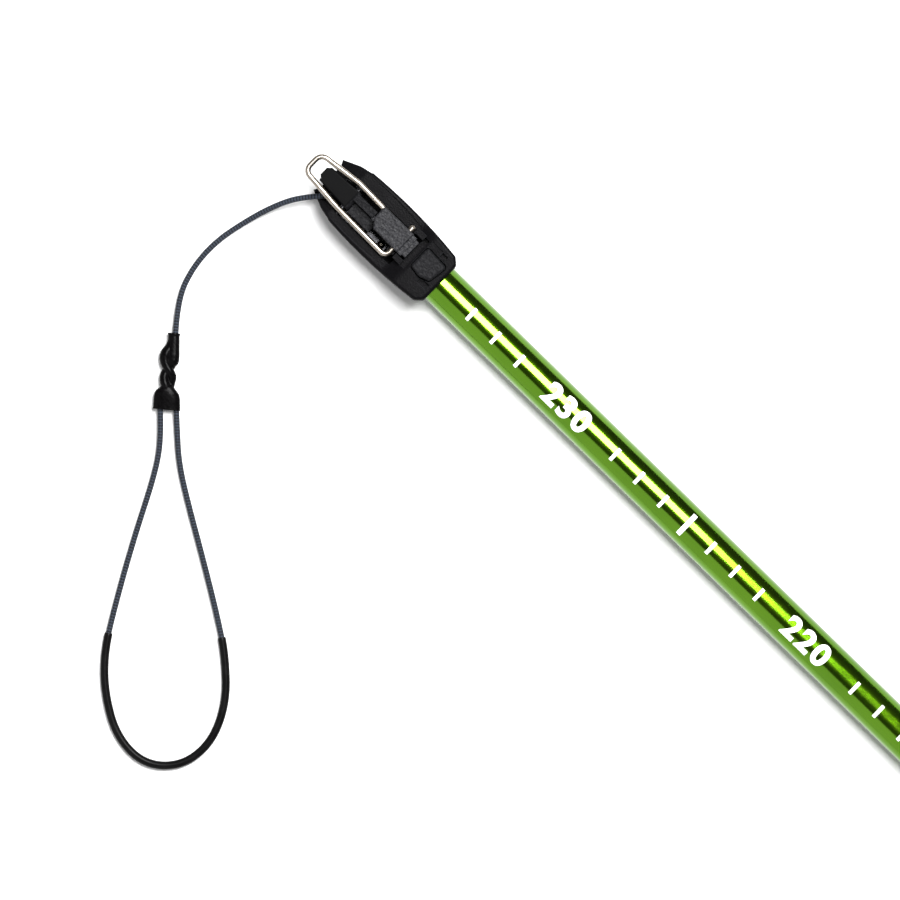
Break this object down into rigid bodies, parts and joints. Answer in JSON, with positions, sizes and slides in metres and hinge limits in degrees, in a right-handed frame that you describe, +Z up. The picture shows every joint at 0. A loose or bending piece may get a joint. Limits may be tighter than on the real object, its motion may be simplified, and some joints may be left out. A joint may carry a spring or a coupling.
{
  "type": "avalanche probe",
  "caption": "Folding avalanche probe with anodised tube sections on a tension cord, a cam lock with a wire bail on the grip end and a pull loop with a rubber grip.",
  "frame": {"origin": "on the lock's flat underside, below the first tube's axis and 25 mm from the lock's grip end", "axes": "+X along the first tube from the lock towards the point, +Z up, with the probe lying on a level surface"},
  "size_m": [0.5767, 0.5918, 0.0177],
  "materials": {
    "housing_plastic": "fine-grained moulded black nylon",
    "lever_plastic": "smooth moulded black nylon",
    "textured_plastic": "spark-eroded dark grey texture",
    "anodised_tube": "bright lime-green anodised, drawn and polished",
    "spigot_alloy": "turned plain alloy",
    "wire_nickel": "nickel-plated bent wire",
    "steel": "bright steel",
    "cord": "tightly braided blue-grey polyester",
    "shrink_sleeve": "satin black shrink tube",
    "grip_rubber": "satin black rubber tube"
  },
  "bodies": {
    "lock": {"lock_housing": "housing_plastic", "tube_plug": "spigot_alloy", "anvil_plate": "steel", "anvil_rivet": "steel", "lever_pin": "steel", "lever_spring": "steel", "lock_cord": "cord", "tube_1": "anodised_tube", "spigot_1": "spigot_alloy", "pull_cord": "cord", "join_sleeve": "shrink_sleeve", "loop_cord": "cord", "loop_grip": "grip_rubber"},
    "bail": {"wire_bail": "wire_nickel", "cam_block": "textured_plastic"},
    "lever": {"thumb_lever": "lever_plastic", "jaw_plate": "textured_plastic"},
    "pad": {"press_pad": "textured_plastic"},
    "cord_1": {"tension_cord_1": "cord", "fold_link_1": "cord"},
    "section_2": {"tube_2": "anodised_tube", "spigot_2": "spigot_alloy"},
    "cord_2": {"tension_cord_2": "cord", "fold_link_2": "cord"},
    "section_3": {"tube_3": "anodised_tube", "spigot_3": "spigot_alloy"},
    "cord_3": {"tension_cord_3": "cord", "fold_link_3": "cord"},
    "section_4": {"tube_4": "anodised_tube", "spigot_4": "spigot_alloy"},
    "cord_4": {"tension_cord_4": "cord", "fold_link_4": "cord"},
    "section_5": {"tube_5": "anodised_tube", "spigot_5": "spigot_alloy"},
    "cord_5": {"tension_cord_5": "cord", "fold_link_5": "cord"},
    "section_6": {"tube_6": "anodised_tube", "tip_cone": "spigot_alloy", "tension_cord_6": "cord"}
  },
  "joints": [
    {"name": "bail_lift", "type": "hinge", "parent": "lock", "child": "bail", "pos_m": [0.0044, 0, 0.015], "axis": [0, 1, 0], "range_deg": [0, 100]},
    {"name": "lever_press", "type": "hinge", "parent": "lock", "child": "lever", "pos_m": [-0.015, 0, 0.0115], "axis": [0, -1, 0], "range_deg": [0, 8], "stiffness_Nm_per_rad": 0.03, "springref_deg": -5.73},
    {"name": "pad_press", "type": "slide", "parent": "lock", "child": "pad", "axis": [0, 0, -1], "range_m": [0, 0.0011], "stiffness_N_per_m": 500},
    {"name": "draw_1", "type": "slide", "parent": "lock", "child": "cord_1", "axis": [1, 0, 0], "range_m": [-0.0638, 0]},
    {"name": "fold_1", "type": "hinge", "parent": "cord_1", "child": "section_2", "pos_m": [0.432, 0.00875, 0.00725], "axis": [0, 0, 1], "range_deg": [-150, 30], "deforming": ["fold_link_1"]},
    {"name": "draw_2", "type": "slide", "parent": "section_2", "child": "cord_2", "axis": [-0.866, 0.5, 0], "range_m": [-0.0638, 0]},
    {"name": "fold_2", "type": "hinge", "parent": "cord_2", "child": "section_3", "pos_m": [0.03816, 0.25461, 0.00725], "axis": [0, 0, -1], "range_deg": [-168, 12], "deforming": ["fold_link_2"]},
    {"name": "draw_3", "type": "slide", "parent": "section_3", "child": "cord_3", "axis": [0.9511, -0.309, 0], "range_m": [-0.0638, 0]},
    {"name": "fold_3", "type": "hinge", "parent": "cord_3", "child": "section_4", "pos_m": [0.48394, 0.12501, 0.00725], "axis": [0, 0, 1], "range_deg": [-171, 9], "deforming": ["fold_link_3"]},
    {"name": "draw_4", "type": "slide", "parent": "section_4", "child": "cord_4", "axis": [-0.891, 0.454, 0], "range_m": [-0.0638, 0]},
    {"name": "fold_4", "type": "hinge", "parent": "cord_4", "child": "section_5", "pos_m": [0.07709, 0.34858, 0.00725], "axis": [0, 0, -1], "range_deg": [-166, 14], "deforming": ["fold_link_4"]},
    {"name": "draw_5", "type": "slide", "parent": "section_5", "child": "cord_5", "axis": [0.9744, -0.225, 0], "range_m": [-0.0638, 0]},
    {"name": "fold_5", "type": "hinge", "parent": "cord_5", "child": "section_6", "pos_m": [0.53246, 0.25833, 0.00725], "axis": [0, 0, 1], "range_deg": [-170, 10], "deforming": ["fold_link_5"]}
  ]
}
